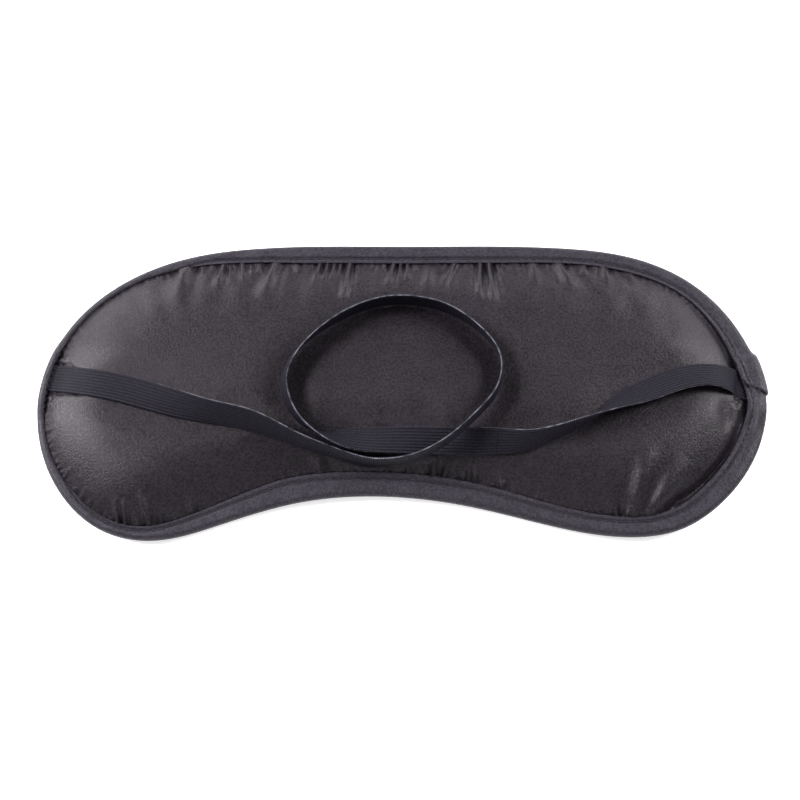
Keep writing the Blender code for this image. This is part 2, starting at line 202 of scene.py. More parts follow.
# Lights: name, place, width, height, power
LIGHTS = [
    ("left_softbox", (-0.55, 0.16, 0.43), 0.30, 0.60, 11.8),
    ("right_softbox", (0.60, 0.24, 0.47), 0.30, 0.60, 9.0),
    ("back_left_softbox", (-0.42, 0.68, 0.28), 0.35, 0.22, 3.1),
    ("back_right_softbox", (0.42, 0.68, 0.28), 0.35, 0.22, 2.1),
    ("front_fill", (0.0, -0.75, 0.45), 0.9, 0.3, 1.9),
]
FLOOR_HALF = 1500.0
FLOOR_GLOW = 0.55
WORLD_LIGHT = 0.29

# Materials, in metres: the pitch of the satin's twill, and the darkest and lightest shade of each
TWILL_PITCH = 0.00062
SATIN_SHADES = ((0.0001, 0.0001, 0.0002, 1), (0.0195, 0.0148, 0.0213, 1))
TAPE_SHADES = ((0.011, 0.0097, 0.0132, 1), (0.0355, 0.0315, 0.0415, 1))
# The elastic's darkest shade is mostly painted shade in the grooves between its ribs
ELASTIC_SHADES = ((0.0010, 0.0009, 0.0020, 1), (0.0190, 0.0155, 0.0300, 1))
# The elastic's edge line: a lighter thread, made brighter still as a painted highlight
EDGE_THREAD_AND_HIGHLIGHT_SHADES = ((0.008, 0.008, 0.013, 1), (0.15, 0.15, 0.185, 1))
FOAM_SHADES = ((0.05, 0.05, 0.055, 1), (0.12, 0.12, 0.13, 1))
LINING_SHADES = ((0.006, 0.006, 0.006, 1), (0.016, 0.016, 0.016, 1))
PAPER_SHADES = ((0.90, 0.90, 0.91, 1), (0.92, 0.92, 0.93, 1))
LINT = (0.14, 0.12, 0.14, 1)


def smoothstep(value):
    t = np.clip(value, 0.0, 1.0)
    return t * t * (3 - 2 * t)


def band(angle, start, rise, end, fall):
    """1 between two directions, with a soft start and end."""
    return smoothstep((angle - start) / rise) * (1 - smoothstep((angle - end) / fall))


def spline_curvatures(points, spans, closed):
    """Second derivatives of the cubic spline through the points."""
    count = len(points)
    matrix = np.eye(count)
    right = np.zeros_like(points)
    for i in range(count) if closed else range(1, count - 1):
        before, after = spans[i - 1], spans[i % len(spans)]
        matrix[i, (i - 1) % count] = before
        matrix[i, i] = 2 * (before + after)
        matrix[i, (i + 1) % count] = after
        forward = (points[(i + 1) % count] - points[i]) / after
        backward = (points[i] - points[(i - 1) % count]) / before
        right[i] = 6 * (forward - backward)
    return np.linalg.solve(matrix, right)


def smooth_curve(table, closed, samples=24):
    """Closely spaced points on the cubic spline through the table's rows."""
    points = np.array(table, dtype=float)
    ends = np.roll(points, -1, axis=0) if closed else points[1:]
    starts = points if closed else points[:-1]
    spans = np.linalg.norm((ends - starts)[:, :2], axis=1)
    bend = spline_curvatures(points, spans, closed)
    t = (np.arange(samples) / samples)[:, None]
    s = 1 - t
    curve = []
    for i, span in enumerate(spans):
        j = (i + 1) % len(points)
        sway = (s**3 - s) * bend[i] + (t**3 - t) * bend[j]
        curve.append(s * points[i] + t * points[j] + sway * span**2 / 6)
    if not closed:
        curve.append(points[-1:])
    return np.concatenate(curve)


def arc_lengths(points, closed):
    """Length travelled up to each point, and the points, with the first repeated if closed."""
    ring = np.vstack([points, points[:1]]) if closed else points
    steps = np.linalg.norm(np.diff(ring[:, :2], axis=0), axis=1)
    return np.concatenate([[0.0], np.cumsum(steps)]), ring


def at_length(points, closed, lengths):
    """The curve's points at the given lengths along it."""
    along, ring = arc_lengths(points, closed)
    return np.stack([np.interp(lengths, along, ring[:, k]) for k in range(ring.shape[1])], axis=1)


FINE_OUTLINE = smooth_curve(OUTLINE, True)
PERIMETER = arc_lengths(FINE_OUTLINE, True)[0][-1]


def outline_at(lengths):
    """Points and inward normals at the given lengths round the outline."""
    here = at_length(FINE_OUTLINE, True, np.mod(lengths, PERIMETER))
    ahead = at_length(FINE_OUTLINE, True, np.mod(lengths + 0.5, PERIMETER))
    behind = at_length(FINE_OUTLINE, True, np.mod(lengths - 0.5, PERIMETER))
    along = ahead - behind
    along /= np.linalg.norm(along, axis=1)[:, None]
    return here, np.stack([-along[:, 1], along[:, 0]], axis=1)


def lip_width(points):
    """Width of the binding's rear lip in each point's direction, averaged over a few degrees."""
    angles = np.degrees(np.arctan2(points[:, 1], points[:, 0]))
    table = np.array(LIP)
    near = [np.interp(angles + d, table[:, 0], table[:, 1], period=360) for d in (-2, 0, 2)]
    return np.mean(near, axis=0)


def nearest_length(place):
    """Length round the outline to where it passes the place."""
    along = arc_lengths(FINE_OUTLINE, True)[0]
    return along[np.argmin(np.linalg.norm(FINE_OUTLINE - np.array(place), axis=1))]


def way_round(lengths):
    """The shorter way round the outline: lengths within half of it either way."""
    return np.mod(lengths + PERIMETER / 2, PERIMETER) - PERIMETER / 2


def ripple(lengths, waves, seed):
    """A smooth wandering value round the outline, about 1 high, with the given numbers of waves."""
    rng = np.random.default_rng(seed)
    total = np.zeros(len(lengths))
    for wave in range(waves[0], waves[1]):
        phase, size = rng.uniform(0, 2 * math.pi), rng.normal()
        total += size * np.sin(2 * math.pi * wave * lengths / PERIMETER + phase)
    return total / math.sqrt(waves[1] - waves[0])


# ---------------------------------------------------------------- meshes


def mesh_object(name, points, faces):
    mesh = bpy.data.meshes.new(name)
    mesh.from_pydata((np.asarray(points) * MM).tolist(), [], faces)
    mesh.shade_smooth()
    item = bpy.data.objects.new(name, mesh)
    bpy.context.collection.objects.link(item)
    return item


def loft(name, rows):
    """A tube through closed rows of points, capped at its ends."""
    count, total = len(rows[0]), len(rows)
    c = np.arange(count)
    d = (c + 1) % count
    faces = []
    for r in range(total - 1):
        low, high = r * count, (r + 1) * count
        faces += np.stack([low + c, low + d, high + d, high + c], axis=1).tolist()
    faces.append(list(range(count))[::-1])
    faces.append(list(range((total - 1) * count, total * count)))
    return mesh_object(name, np.concatenate(rows), faces)


# ---------------------------------------------------------------- camera


def add_camera():
    data = bpy.data.cameras.new("camera")
    data.lens = CAMERA_LENS
    data.sensor_width = 36.0
    data.clip_start = 0.01
    camera = bpy.data.objects.new("camera", data)
    back = np.array([0.0, -math.sin(CAMERA_LEAN), math.cos(CAMERA_LEAN)])
    camera.location = (CAMERA_TARGET + CAMERA_AWAY * back) * MM
    camera.rotation_euler = (CAMERA_LEAN, 0.0, 0.0)
    bpy.context.collection.objects.link(camera)
    bpy.context.scene.camera = camera


# ---------------------------------------------------------------- covers


def rear_height(inset, lip):
    """Height of the rear cover's outer face before its gathers, by distance inside the outline."""
    rise = np.clip((inset - lip + 0.3) / (REAR_RUN + 1.3), 0, 1)
    return REAR_TOP_Z + REAR_CROWN * (1 - (1 - rise) ** REAR_POWER)


def cad_rear_top(inset, lip):
    """Height of the CAD rear cover, which stays just under the cloth."""
    rise = np.clip((inset - lip - FOOT) / REAR_RUN, 0, 1)
    return REAR_TOP_Z + REAR_CROWN * (1 - (1 - rise) ** REAR_POWER)


def front_height(inset):
    """Height of the front cover's underside, which curls up from the floor to its seam."""
    rise = np.clip((inset - FRONT_LIP_WIDTH - 0.5) / (FRONT_RUN + 0.5), 0, 1)
    return FRONT_COVER_Z * (1 - rise) ** 2


def gather_relief(places, gathers):
    """Ridges, each between two shallow valleys, that fade as they run in from the seam."""
    relief = np.zeros(len(places))
    for x0, y0, x1, y1, width, height in gathers:
        run = np.array([x1 - x0, y1 - y0])
        length = np.linalg.norm(run)
        run /= length
        away = places - np.array([x0, y0])
        u = away @ run / length
        across = away[:, 0] * run[1] - away[:, 1] * run[0]
        near = np.abs(across) < 6 * width
        q = across / (width * (0.75 + 0.45 * np.clip(u, 0, 1)))
        valleys = np.exp(-(q - VALLEY_AWAY) ** 2) + np.exp(-(q + VALLEY_AWAY) ** 2)
        shape = np.exp(-q**2) - VALLEY_SHARE * valleys
        fade = smoothstep((u + 0.25) * 4) * np.clip(1 - u, 0, 1) ** GATHER_FADE
        relief += np.where(near, GATHER_HEIGHT * height * shape * fade, 0)
    return relief


def small_gathers(seed, step, reach, height):
    """Puckers at uneven spacing all the way round the seam."""
    rng = np.random.default_rng(seed)
    table = []
    length = 0.0
    while length < PERIMETER - step:
        length += rng.uniform(0.5, 1.6) * step
        edge, inward = outline_at(np.array([length]))
        lip = lip_width(edge)
        start = edge[0] + inward[0] * (lip[0] - 0.4)
        lean = rng.normal(0, 0.2)
        way = inward[0] + lean * np.array([-inward[0][1], inward[0][0]])
        end = start + way * rng.uniform(0.5, 1.3) * reach
        table.append((*start, *end, rng.uniform(0.5, 0.9), rng.uniform(0.3, 1.0) * height))
    return table


EDGE_LENGTHS = np.arange(EDGE_STEPS) * PERIMETER / EDGE_STEPS
EDGE, INWARD = outline_at(EDGE_LENGTHS)
EDGE_LIP = lip_width(EDGE)
BAND = [0.0, 0.35, 0.7, 1.1, 1.5, 2.0, 2.5, 3.0, 3.6, 4.2, 4.9, 5.6, 6.4, 7.2, 8.1, 9.0, 10.0, 11.0, 12.0]


def staggered_grid(pitch):
    """Places in staggered rows that take in the whole mask."""
    xs = np.arange(-110, 110, pitch)
    ys = np.arange(-50, 50, pitch * math.sqrt(3) / 2)
    return np.array([(x + (j % 2) * pitch / 2, y) for j, y in enumerate(ys) for x in xs])


def cover_plan(lip):
    """Flat places of a cover's points: rings round its edge, and a grid within them."""
    insets = [np.full(EDGE_STEPS, COVER_INSET), np.maximum(lip - 0.5, COVER_INSET + 0.2)]
    insets += [lip + t for t in BAND]
    insets[2] = np.maximum(insets[2], insets[1] + 0.2)
    rings = [EDGE + INWARD * inset[:, None] for inset in insets]
    inner = rings[-1]
    grid = staggered_grid(COVER_PITCH)
    from_edge, edge_lip = inset_of(grid)
    grid = grid[inside(grid, inner[::7]) & (from_edge > edge_lip + BAND[-1] + 0.7)]
    loop = list(range(EDGE_STEPS))
    points = [tuple(p) for p in np.vstack([inner, grid])]
    found = delaunay_2d_cdt(points, [], [loop], 1, 1e-5)
    origin = [ids[0] for ids in found[3]]
    base = (len(rings) - 1) * EDGE_STEPS
    fill = [tuple(base + origin[k] for k in face) for face in found[2]]
    return rings, insets, grid, fill


def inside(places, loop):
    """Which places lie within a closed loop."""
    result = np.zeros(len(places), dtype=bool)
    ahead = np.roll(loop, -1, axis=0)
    for (x0, y0), (x1, y1) in zip(loop, ahead):
        if y0 == y1:
            continue
        crosses = (places[:, 1] > y0) != (places[:, 1] > y1)
        at = x0 + (places[:, 1] - y0) * (x1 - x0) / (y1 - y0)
        result ^= crosses & (places[:, 0] < at)
    return result


def inset_of(places):
    """Distance inside the outline, and the lip's width there, at each place."""
    distance = np.empty(len(places))
    lip = np.empty(len(places))
    for first in range(0, len(places), 2000):
        part = places[first:first + 2000]
        gaps = np.linalg.norm(part[:, None, :] - EDGE[None, :, :], axis=2)
        near = gaps.argmin(axis=1)
        distance[first:first + 2000] = gaps[np.arange(len(part)), near]
        lip[first:first + 2000] = EDGE_LIP[near]
    return distance, lip


def cover(name, plan, upper):
    """A cloth cover, closed all round, whose upper face is at the given heights."""
    rings, _, grid, fill = plan
    flat = np.vstack([*rings, grid])
    c = np.arange(EDGE_STEPS)
    d = (c + 1) % EDGE_STEPS
    top = []
    for r in range(len(rings) - 1):
        low, high = r * EDGE_STEPS, (r + 1) * EDGE_STEPS
        top += np.stack([low + c, low + d, high + d, high + c], axis=1).tolist()
    top += [list(face) for face in fill]
    count = len(flat)
    under = [[k + count for k in reversed(face)] for face in top]
    rim = np.stack([c, c + count, d + count, d], axis=1).tolist()
    points = np.vstack([
        np.column_stack([flat, upper]),
        np.column_stack([flat, upper - COVER_THICK]),
    ])
    return mesh_object(name, points, top + under + rim)


def surface_under(places):
    """Height of the CAD rear cover at each place."""
    gaps = inset_of(places)[0]
    near = [np.argmin(np.linalg.norm(EDGE - p, axis=1)) for p in places]
    angles = np.degrees(np.arctan2(EDGE[near][:, 1], EDGE[near][:, 0]))
    table = np.array(CAD_LIP)
    return cad_rear_top(gaps, np.interp(angles, table[:, 0], table[:, 1], period=360))


def strap_stations(step):
    """The strap's cross sections: middle, across-the-width and through-the-thickness vectors."""
    route = smooth_curve(LEFT_RUN + LOOP + RIGHT_RUN, False)
    length = arc_lengths(route, False)[0][-1]
    places = at_length(route, False, np.linspace(0, length, round(length / step) + 1))
    flat, roll, lift = places[:, :2], np.radians(places[:, 2]), places[:, 3]
    along = np.gradient(flat, axis=0)
    along /= np.linalg.norm(along, axis=1)[:, None]
    side = np.column_stack([-along[:, 1], along[:, 0], np.zeros(len(along))])
    half = STRAP_WIDTH / 2
    reach = side[:, :2] * (np.cos(roll) * half)[:, None]
    slope = (surface_under(flat + reach) - surface_under(flat - reach)) / STRAP_WIDTH
    roll = roll + np.cos(roll) * np.arcsin(np.clip(slope, -1, 1))
    across = side * np.cos(roll)[:, None] + UP * np.sin(roll)[:, None]
    through = np.cross(np.column_stack([along, np.zeros(len(along))]), across)
    rest = np.full(len(places), -np.inf)
    for share in np.linspace(-1, 1, 5):
        edge = across * half * share
        rest = np.maximum(rest, surface_under(flat + edge[:, :2]) - edge[:, 2])
    rest += STRAP_THICK / 2 * np.abs(np.cos(roll)) + lift
    apart = (np.arange(len(rest))[:, None] - np.arange(len(rest))) * step
    sag = STRAP_SAG / np.maximum(np.sin(roll) ** 2, STRAP_LIMP)
    bridged = np.max(rest[None, :] - sag[:, None] * apart**2, axis=1)
    return np.column_stack([flat, bridged + GAP]), across, through


def slack_sheet():
    """A coarse flat copy of the rear cover, held all round at its seam."""
    ring = slice(0, EDGE_STEPS, SIM_RING_SKIP)
    seam = EDGE[ring] + INWARD[ring] * EDGE_LIP[ring][:, None]
    grid = staggered_grid(SIM_PITCH)
    from_edge, edge_lip = inset_of(grid)
    grid = grid[inside(grid, seam) & (from_edge > edge_lip + SIM_PITCH * 0.6)]
    flat = np.vstack([seam, grid])
    found = delaunay_2d_cdt([tuple(p) for p in flat], [], [list(range(len(seam)))], 1, 1e-5)
    flat = np.array([tuple(p) for p in found[0]])
    pinned = [k for k, ids in enumerate(found[3]) if ids and ids[0] < len(seam)]
    return flat, [tuple(face) for face in found[2]], pinned


def simulated_puff():
    """Where slack satin settles over the padding: places, and heights from the smooth crown."""
    flat, faces, pinned = slack_sheet()
    inset, lip = inset_of(flat)
    rest = rear_height(inset, lip)
    mesh = bpy.data.meshes.new("slack_satin")
    mesh.from_pydata((np.column_stack([flat, rest]) * SIM_SCALE).tolist(), [], faces)
    sheet = bpy.data.objects.new("slack_satin", mesh)
    bpy.context.collection.objects.link(sheet)
    sheet.vertex_groups.new(name="seam").add(pinned, 1.0, "REPLACE")
    cloth = sheet.modifiers.new("cloth", "CLOTH")
    settings = cloth.settings
    settings.vertex_group_mass = "seam"
    settings.mass = 0.05
    settings.tension_stiffness = settings.compression_stiffness = 30.0
    settings.shear_stiffness = 10.0
    settings.bending_stiffness = 2.0
    settings.shrink_min = settings.shrink_max = -SIM_SLACK
    settings.use_pressure = True
    settings.uniform_pressure_force = SIM_PRESSURE
    settings.effector_weights.gravity = 0.0
    cloth.point_cache.frame_end = SIM_FRAMES
    scene = bpy.context.scene
    for now in range(1, SIM_FRAMES + 1):
        scene.frame_set(now)
    settled = sheet.evaluated_get(bpy.context.evaluated_depsgraph_get()).to_mesh()
    places = np.empty(len(settled.vertices) * 3, dtype=np.float32)
    settled.vertices.foreach_get("co", places)
    puff = places.reshape(-1, 3)[:, 2] / SIM_SCALE - rest
    scene.frame_set(1)
    bpy.data.objects.remove(sheet)
    bpy.data.meshes.remove(mesh)
    return flat, SIM_CAP * np.tanh(puff / SIM_CAP)


def spread(sheet, puff, places):
    """The puff at each place, as a smooth average of the sheet's points around it."""
    tree = KDTree(len(sheet))
    for k, point in enumerate(sheet):
        tree.insert((*point, 0.0), k)
    tree.balance()
    found = [tree.find_n((x, y, 0.0), 7) for x, y in places.tolist()]
    index = np.array([[k for _, k, _ in near] for near in found])
    weights = np.exp(-(np.array([[d for _, _, d in near] for near in found]) / SIM_PITCH) ** 2)
    return (weights * puff[index]).sum(axis=1) / weights.sum(axis=1)


def below_strap(places):
    """The height that the strap presses the cover down to, and how far each place is beside it."""
    middles, across, _ = strap_stations(1.3)
    tree = KDTree(len(middles))
    for k, (x, y, _) in enumerate(middles):
        tree.insert((x, y, 0.0), k)
    tree.balance()
    index = np.array([tree.find((x, y, 0.0))[1] for x, y in places.tolist()])
    middle, wide = middles[index], across[index]
    flat = np.linalg.norm(wide[:, :2], axis=1)
    away = ((places - middle[:, :2]) * wide[:, :2]).sum(axis=1) / np.maximum(flat, 0.05)
    apart = np.linalg.norm(places - middle[:, :2], axis=1)
    half = STRAP_WIDTH / 2
    share = np.clip(away / np.maximum(flat, 0.05), -half, half)
    underside = middle[:, 2] + np.where(flat > 0.25, share * wide[:, 2], -half * np.abs(wide[:, 2]))
    beside = np.maximum(apart - half * flat - 0.2, 0)
    return underside - STRAP_THICK / 2 - 0.1 + 0.5 * beside, beside


def rear_outer(places, inset, lip):
    """The rear cover's outer face: crown, gathers, simulated puff, hollows, and the strap's press."""
    height = rear_height(inset, lip)
    seam = smoothstep((inset - lip + 0.6) / 0.8)
    angle = np.degrees(np.arctan2(places[:, 1], places[:, 0]))
    right_side = band(angle, *RIGHT_SIDE)
    relief = gather_relief(places, GATHERS)
    relief += gather_relief(places, small_gathers(3, 2.6, 3.4, 0.20)) * (1 - right_side)
    limit, beside = below_strap(places)
    puff = spread(*simulated_puff(), places)
    puff = np.where(puff > 0, puff * smoothstep(beside / STRAP_HOLD), puff)
    relief += puff * smoothstep((inset - lip) / 3)
    deep = 0.7 + 1.3 * band(angle, *RIGHT_HOLLOW)
    relief -= deep * np.exp(-((inset - lip - 1.0) / 1.2) ** 2) * right_side
    dimple = np.linalg.norm((places - DIMPLE) / DIMPLE_RADII, axis=1)
    relief -= DIMPLE_DEPTH * np.exp(-dimple**2)
    foam = np.where(inset > lip + FOAM_FOOT, cad_rear_top(inset, lip) - GAP, -np.inf)
    return np.maximum(np.minimum(height + relief * seam, limit), foam)


def front_outer(places, inset):
    """The front cover's outer face, which the mask lies on: its gathers only rise from the floor."""
    relief = np.abs(gather_relief(places, small_gathers(8, 4.0, 6.0, 0.5)))
    seam = smoothstep((inset - FRONT_LIP_WIDTH + 0.6) / 0.8)
    return np.maximum(front_height(inset) + relief * seam * 0.6, 0.02)


def plan_insets(plan):
    """A plan's flat places, with each one's distance inside the outline and the lip's width there."""
    rings, insets, grid, _ = plan
    flat = np.vstack([*rings, grid])
    far, far_lip = inset_of(grid)
    inset = np.concatenate([*insets, far])
    lip = np.concatenate([*([EDGE_LIP] * len(rings)), far_lip])
    return flat, inset, lip


def add_covers():
    plan = cover_plan(EDGE_LIP)
    flat, inset, lip = plan_insets(plan)
    rear = cover("rear_satin", plan, rear_outer(flat, inset, lip))
    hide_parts("rear_cover")
    front_plan = cover_plan(np.full(EDGE_STEPS, FRONT_LIP_WIDTH))
    flat, inset, _ = plan_insets(front_plan)
    front = cover("front_satin", front_plan, front_outer(flat, inset) + COVER_THICK)
    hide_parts("front_cover")
    for item in (rear, front):
        item.data.materials.append(satin("satin_cloth"))
        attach(item, "mask")


# ---------------------------------------------------------------- binding


def strap_lift(lengths):
    """How far the rear lip rises to clear the strap's ends."""
    lift = np.zeros(len(lengths))
    for end in (LEFT_RUN[0], RIGHT_RUN[-1]):
        away = np.abs(way_round(lengths - nearest_length(end[:2])))
        lift += STRAP_LIFT * (1 - smoothstep(away / STRAP_LIFT_SPAN * 2 - 1))
    return lift


def stitch_inset(lip):
    """The seam stands inside a wide lip and in the ditch beside a narrow one."""
    return lip + 0.25 - 1.35 * smoothstep((lip - 2.9) / 0.9) - 0.5 * smoothstep((lip - 4.5) / 2)


def add_binding():
    """The bias tape folded over the edge, swept clockwise from its start to past its own start."""
    swept = np.arange(0.0, PERIMETER + TAPE_LAP, PERIMETER / EDGE_STEPS)
    lengths = nearest_length(TAPE_START) - swept
    edge, inward = outline_at(lengths)
    lip = lip_width(edge)
    lap = LAP_RISE * smoothstep((swept - PERIMETER + LAP_RAMP) / (LAP_RAMP - 0.5))
    rear_middle = MID_Z + strap_lift(lengths)
    puff = 0.10 + 0.10 * ripple(lengths, (20, 60), 11)
    groove_at = stitch_inset(lip)
    pucker = 0.05 * np.cos(2 * math.pi * lengths / STITCH_PITCH)
    pleat = smoothstep(swept / 3) * (1 - 0.75 * smoothstep((swept - 12) / 22))
    pleat *= 1 - smoothstep((swept - 50) / 20)
    end_fold = np.clip((PERIMETER + TAPE_LAP - swept) / 0.9, 0.0, 1.0)
    fold_thick = np.sqrt(1 - (1 - end_fold) ** 2) * 0.9 + 0.1

    slant = LAP_SLANT * smoothstep((swept - PERIMETER - TAPE_LAP) / 8 + 1)
    backward = np.column_stack([inward[:, 1], -inward[:, 0]])

    def column(inset, height):
        back = slant * np.clip(inset / lip, 0, 1)
        return np.column_stack([edge + inward * inset[:, None] + backward * back[:, None], height])

    def folded(degrees, radius):
        """Inset and height on the fold round the edge: 90 is its rear side and 270 its front."""
        turn = math.radians(degrees)
        middle = rear_middle if degrees < 180 else MID_Z
        return ROLL + math.cos(turn) * radius, middle + math.sin(turn) * radius

    def relief(inset):
        """What stands on the smooth rear face of the tape at this inset."""
        groove = np.exp(-((inset - groove_at) / GROOVE_WIDTH) ** 2) * (GROOVE_DEPTH + pucker)
        swell = np.exp(-((inset - groove_at * 0.5) / (groove_at * 0.45)) ** 2) * puff
        ridges = np.zeros(len(edge))
        for place, drift, wide in PLEATS:
            wander = place + drift * swept + 0.3 * np.sin(swept / 4.1 + 2 * place)
            ridges += np.exp(-((inset - wander) / wide) ** 2)
        return swell - groove + (ridges * 0.34 - 0.2) * pleat

    outer = ROLL + lap
    inner = outer - CLOTH
    shell = inner + CLOTH * fold_thick
    columns = []
    for degrees in range(270, 89, -18):
        columns.append(column(*folded(degrees, inner)))
    flat_lip = lip - 0.15
    columns.append(column(np.maximum(flat_lip, ROLL), rear_middle + inner))
    columns.append(column(lip, rear_middle + inner + 0.08))
    columns.append(column(lip + 0.08, rear_middle + (inner + shell) / 2))
    columns.append(column(lip, rear_middle + shell + relief(lip) - 0.06))
    for share in np.linspace(0.985, 0.0, 26):
        inset = ROLL + (lip - ROLL) * share
        columns.append(column(inset, rear_middle + shell + relief(inset)))
    for degrees in (*range(99, 181, 9), *range(192, 241, 12), 255, 270):
        inset, height = folded(degrees, shell)
        push = max(math.sin(math.radians(degrees)), 0) * relief(np.maximum(inset, 0))
        columns.append(column(inset, height + push))
    front = np.full(len(edge), FRONT_LIP_WIDTH)
    columns.append(column(front - 0.12, MID_Z - shell))
    columns.append(column(front, MID_Z - (inner + shell) / 2))
    columns.append(column(front - 0.12, MID_Z - inner))
    tape = loft("edge_tape", list(np.stack(columns[::-1], axis=1)))
    tape.data.materials.append(satin("binding_satin", tape=True))
    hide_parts("edge_binding")
    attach(tape, "mask")


def capsules(name, middles, ways, lengths, radius):
    """Short rounded threads, each bent down into the cloth at its ends."""
    ring = np.arange(THREAD_SIDES) * 2 * math.pi / THREAD_SIDES
    points, faces = [], []
    profile = [(-1.0, 0.25, -0.16), (-0.8, 0.8, -0.04), (-0.3, 1.0, 0.0), (0.3, 1.0, 0.0),
               (0.8, 0.8, -0.04), (1.0, 0.25, -0.16)]
    for middle, way, length in zip(middles, ways, lengths):
        side = np.cross(UP, way)
        side /= np.linalg.norm(side)
        over = np.cross(way, side)
        base = len(points)
        for share, thick, drop in profile:
            centre = middle + way * share * length / 2 + over * drop
            for turn in ring:
                points.append(centre + radius * thick * (math.cos(turn) * side + math.sin(turn) * over))
        for r in range(len(profile) - 1):
            for c in range(THREAD_SIDES):
                d = (c + 1) % THREAD_SIDES
                low, high = base + r * THREAD_SIDES, base + (r + 1) * THREAD_SIDES
                faces.append([low + c, low + d, high + d, high + c])
        faces.append([base + k for k in reversed(range(THREAD_SIDES))])
        faces.append([base + THREAD_SIDES * (len(profile) - 1) + k for k in range(THREAD_SIDES)])
    return mesh_object(name, points, faces)


def add_stitches():
    """Lock stitches sunk in the binding, on both of its faces."""
    swept = np.arange(STITCH_PITCH / 2, PERIMETER, STITCH_PITCH)
    lengths = nearest_length(TAPE_START) - swept
    edge, inward = outline_at(lengths)
    lip = lip_width(edge)
    lap = LAP_RISE * smoothstep((swept - PERIMETER + LAP_RAMP) / (LAP_RAMP - 0.5))
    lap += LAP_RISE * (swept < TAPE_LAP - LAP_SLANT * 0.8)
    groove_at = stitch_inset(lip)
    rng = np.random.default_rng(21)
    sway = rng.normal(0, 0.06, len(edge))
    along = np.column_stack([inward[:, 1], -inward[:, 0], rng.normal(0, 0.02, len(edge))])
    rear = np.column_stack([
        edge + inward * (groove_at + sway)[:, None],
        MID_Z + ROLL + lap + strap_lift(lengths) - 0.33 - 0.45 * (1 - smoothstep((lip - 2.9) / 0.9)),
    ])
    long = np.full(len(edge), STITCH_PITCH * 0.72)
    front = np.column_stack([
        edge + inward * np.full((len(edge), 1), FRONT_LIP_WIDTH - 1.1),
        MID_Z - ROLL - lap - 0.05,
    ])
    for name, node, places in (
        ("rear_stitches", "rear_seam_thread", rear),
        ("front_stitches", "front_seam_thread", front),
    ):
        threads = capsules(name, places, along, long, STITCH_RADIUS)
        threads.data.materials.append(thread_material("sewing_thread", 1.0))
        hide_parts(node)
        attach(threads, "mask")


def add_tack_threads():
    """Loose ends of lighter thread where the start of the tape is tacked down by hand."""
    rng = np.random.default_rng(4)
    lengths = nearest_length(TAPE_START) + np.linspace(9.5, -4.5, TACKS) + rng.normal(0, 0.4, TACKS)
    edge, inward = outline_at(lengths)
    lip = lip_width(edge)
    along = np.column_stack([inward[:, 1], -inward[:, 0]])
    lean = np.radians(rng.normal(0, 24, TACKS))
    ways = along * np.cos(lean)[:, None] + inward * np.sin(lean)[:, None]
    ways = np.column_stack([ways, rng.normal(0, 0.08, TACKS)])
    ways /= np.linalg.norm(ways, axis=1)[:, None]
    raised = LAP_RISE * (lengths < nearest_length(TAPE_START) + LAP_RAMP / 2)
    middles = np.column_stack([
        edge + inward * (lip - 0.75 + rng.normal(0, 0.22, TACKS))[:, None],
        MID_Z + ROLL + raised + strap_lift(lengths) + 0.04,
    ])
    threads = capsules("tack_threads", middles, ways, rng.uniform(1.2, 2.6, TACKS), TACK_RADIUS)
    threads.data.materials.append(thread_material("tack_thread", 2.6))
    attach(threads, "mask")


# ---------------------------------------------------------------- strap


def ribbon(name, centre, across, through, first_length):
    """A ribbed elastic ribbon with a bright dotted line along each edge, partly a bead of thread and
    partly a painted highlight.
    """
    places = np.linspace(-1, 1, RIBS * POINTS_PER_RIB + 1)
    rib = 0.25 + 0.15 * np.abs(np.sin(math.pi * RIBS * (places + 1) / 2)) ** 0.7
    rib[0] = rib[-1] = 0.10
    section = [(a, t) for a, t in zip(places, rib)] + [(a, -t) for a, t in zip(places[::-1], rib[::-1])]
    rows = []
    for middle, wide, thick in zip(centre, across, through):
        rows.append([middle + wide * a * STRAP_WIDTH / 2 + thick * t for a, t in section])
    item = loft(name, [np.array(row) for row in rows])
    layer = item.data.uv_layers.new(name="strap")
    count = len(section)
    index = np.empty(len(item.data.loops), dtype=np.int32)
    item.data.loops.foreach_get("vertex_index", index)
    a = np.array([place for place, _ in section])[index % count]
    u = (first_length + index // count * STRAP_STEP) / 10
    layer.data.foreach_set("uv", np.column_stack([u, a]).astype(np.float32).ravel())
    item.data.materials.append(elastic())
    return item


def add_strap():
    centre, across, through = strap_stations(STRAP_STEP)
    last = len(centre) - 1
    loop_start = int(np.argmax(centre[:, 0] > LEFT_RUN[-1][0]))
    loop_end = last - int(np.argmax(centre[::-1, 0] < RIGHT_RUN[0][0]))
    runs = [
        ("strap_left", "strap_left_run", 0, loop_start),
        ("strap_coil", "strap_loop", loop_start, loop_end),
        ("strap_right", "strap_right_run", loop_end, last),
    ]
    for name, node, first, final in runs:
        part = slice(first, final + 1)
        middle = centre[part]
        item = ribbon(name, middle, across[part], through[part], first * STRAP_STEP)
        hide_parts(node)
        if node == "strap_loop":
            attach(item, "strap")
        elif first == 0:
            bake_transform(item)
        else:
            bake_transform(item)


# ---------------------------------------------------------------- materials


